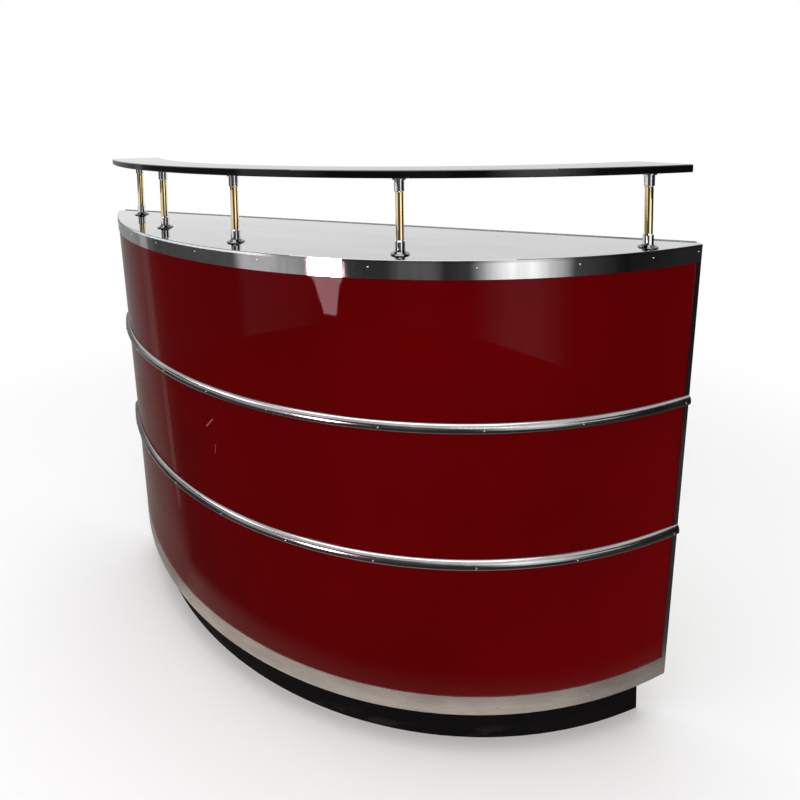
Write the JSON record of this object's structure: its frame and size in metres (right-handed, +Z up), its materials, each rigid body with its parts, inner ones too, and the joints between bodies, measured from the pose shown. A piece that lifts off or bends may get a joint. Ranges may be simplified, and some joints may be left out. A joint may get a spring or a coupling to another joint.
{
  "type": "home bar",
  "caption": "Free-standing curved-front home bar with a leaning gloss laminate body, metal bands, a mirror counter and a raised crescent glass shelf on slim posts.",
  "frame": {"origin": "on the floor, at the centre of the bounding box: midway along the bar and midway between its curved front and the back of the raised glass", "axes": "+X along the bar to the right as seen from the front, +Y from the curved front to the open straight back, +Z up"},
  "size_m": [1.428, 0.3464, 1.1],
  "materials": {
    "burgundy_laminate": "high gloss laminate",
    "polished_aluminium": "polished",
    "satin_aluminium": "satin, lightly brushed",
    "pale_edging": "satin",
    "mirror_glass": "silvered glass with a ground edge",
    "black_glass": "opaque black, polished",
    "brass": "polished",
    "chrome": "polished",
    "zinc_steel": "zinc plated",
    "pad_plastic": "translucent pad",
    "plinth_black": "painted matt black",
    "plywood": "bare plywood",
    "wood": "clear lacquered softwood and blockboard"
  },
  "bodies": {
    "root": {"base_board": "wood", "front_plywood": "plywood", "rib_lower": "wood", "rib_upper": "wood", "front_studs": "wood", "back_stile_left": "wood", "back_stile_right": "wood", "divider_left": "wood", "divider_right": "wood", "shelf_left": "wood", "shelf_centre": "wood", "shelf_right": "wood", "shelf_cleats": "wood", "counter_back_rail": "wood", "counter_board": "wood", "plinth_front": "plinth_black", "plinth_back": "plinth_black", "plinth_cross_members": "plinth_black", "top_band": "polished_aluminium", "bottom_band": "satin_aluminium", "moulding_lower": "polished_aluminium", "moulding_upper": "polished_aluminium", "end_strips_left": "polished_aluminium", "end_strips_right": "polished_aluminium", "counter_back_edging": "pale_edging", "red_panel_lower": "burgundy_laminate", "red_panel_middle": "burgundy_laminate", "red_panel_upper": "burgundy_laminate", "counter_mirror": "mirror_glass", "post_base_1": "chrome", "post_cap_1": "chrome", "post_tube_1": "brass", "post_base_2": "chrome", "post_cap_2": "chrome", "post_tube_2": "brass", "post_base_3": "chrome", "post_cap_3": "chrome", "post_tube_3": "brass", "post_base_4": "chrome", "post_cap_4": "chrome", "post_tube_4": "brass", "post_base_5": "chrome", "post_cap_5": "chrome", "post_tube_5": "brass", "post_rods": "zinc_steel", "post_nuts": "zinc_steel", "post_pads": "pad_plastic", "bar_shelf": "black_glass"}
  },
  "joints": []
}
